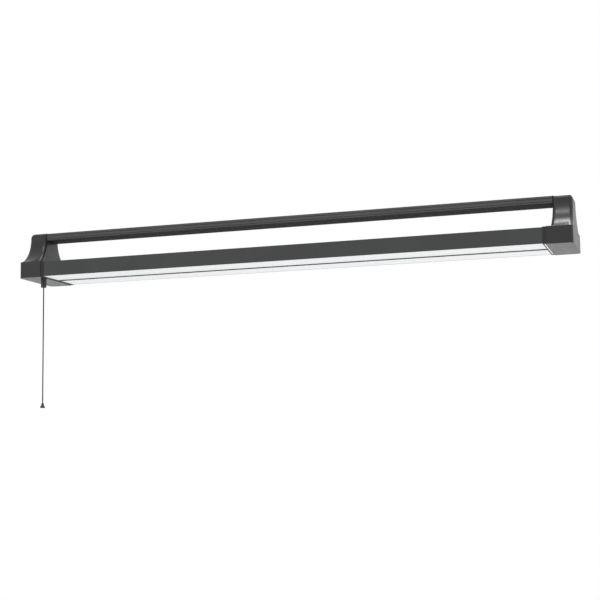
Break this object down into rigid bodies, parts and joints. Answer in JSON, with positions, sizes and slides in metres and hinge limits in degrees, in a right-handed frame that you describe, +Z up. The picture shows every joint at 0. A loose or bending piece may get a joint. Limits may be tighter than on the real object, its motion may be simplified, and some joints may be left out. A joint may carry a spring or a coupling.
{
  "type": "hanging shop light",
  "caption": "Long shallow shop light hung from a bar between two moulded end caps, with twin diffuser lenses below and a pull cord switch at one end.",
  "frame": {"origin": "middle of the hanging bar's top face, midway along the light and across it", "axes": "+X along the light away from the pull cord's end, +Y towards the rear, +Z up"},
  "size_m": [1.202, 0.148, 0.3892],
  "materials": {
    "cap_plastic": "satin moulded plastic, dark grey",
    "housing_paint": "satin powder coat, dark grey",
    "bar_paint": "satin powder coat, dark grey",
    "collar_plastic": "matt moulded plastic, nearly black",
    "lens_white": "white translucent diffuser",
    "divider_plastic": "satin plastic, dark grey",
    "tray_white": "white reflector paint",
    "board_white": "white solder mask",
    "chip_yellow": "pale yellow phosphor",
    "driver_metal": "folded sheet, satin",
    "circuit_green": "green circuit board",
    "terminal_white": "moulded plastic, off white",
    "bush_rubber": "matt rubber",
    "lead_sleeve": "white insulation",
    "switch_plastic": "matt moulded plastic, black",
    "lever_plastic": "moulded plastic, natural",
    "contact_brass": "stamped strip",
    "steel": "zinc plated",
    "ferrule_plastic": "satin moulded plastic, black",
    "cord_braid": "fine dark braid",
    "knob_plastic": "moulded plastic, black"
  },
  "bodies": {
    "light": {"end_cap_left": "cap_plastic", "end_cap_right": "cap_plastic", "base_cover_left": "cap_plastic", "base_cover_right": "cap_plastic", "hanging_bar": "bar_paint", "housing_channel": "housing_paint", "end_collar_left": "collar_plastic", "end_collar_right": "collar_plastic", "lens_front": "lens_white", "lens_rear": "lens_white", "lens_divider": "divider_plastic", "gear_tray": "tray_white", "led_board_front": "board_white", "led_board_rear": "board_white", "led_chips_front": "chip_yellow", "led_chips_rear": "chip_yellow", "driver_case": "driver_metal", "driver_board": "circuit_green", "terminal_block": "terminal_white", "inlet_bush": "bush_rubber", "switch_lead": "lead_sleeve", "driver_lead": "lead_sleeve", "board_lead_front": "lead_sleeve", "board_lead_rear": "lead_sleeve", "switch_case": "switch_plastic", "switch_lid": "switch_plastic", "lever_pin": "steel", "switch_contacts": "contact_brass", "return_spring": "steel", "cord_ferrule": "ferrule_plastic", "housing_screws": "steel", "bar_screws": "steel"},
    "pull": {"pull_stem": "lever_plastic", "pull_cord": "cord_braid", "pull_knob": "knob_plastic"},
    "lever": {"switch_lever": "lever_plastic"}
  },
  "joints": [
    {"name": "pull_slide", "type": "slide", "parent": "light", "child": "pull", "axis": [0, 0, -1], "range_m": [0, 0.008], "stiffness_N_per_m": 150, "springref_m": -0.004, "deforming": ["return_spring"]},
    {"name": "lever_rock", "type": "hinge", "parent": "light", "child": "lever", "pos_m": [-0.577, -0.044, -0.0824], "axis": [0, 1, 0], "range_deg": [0, 21]}
  ],
  "couplings": [
    {"joint": "lever_rock", "follows": "pull_slide", "rad_per_m": 45.71}
  ]
}
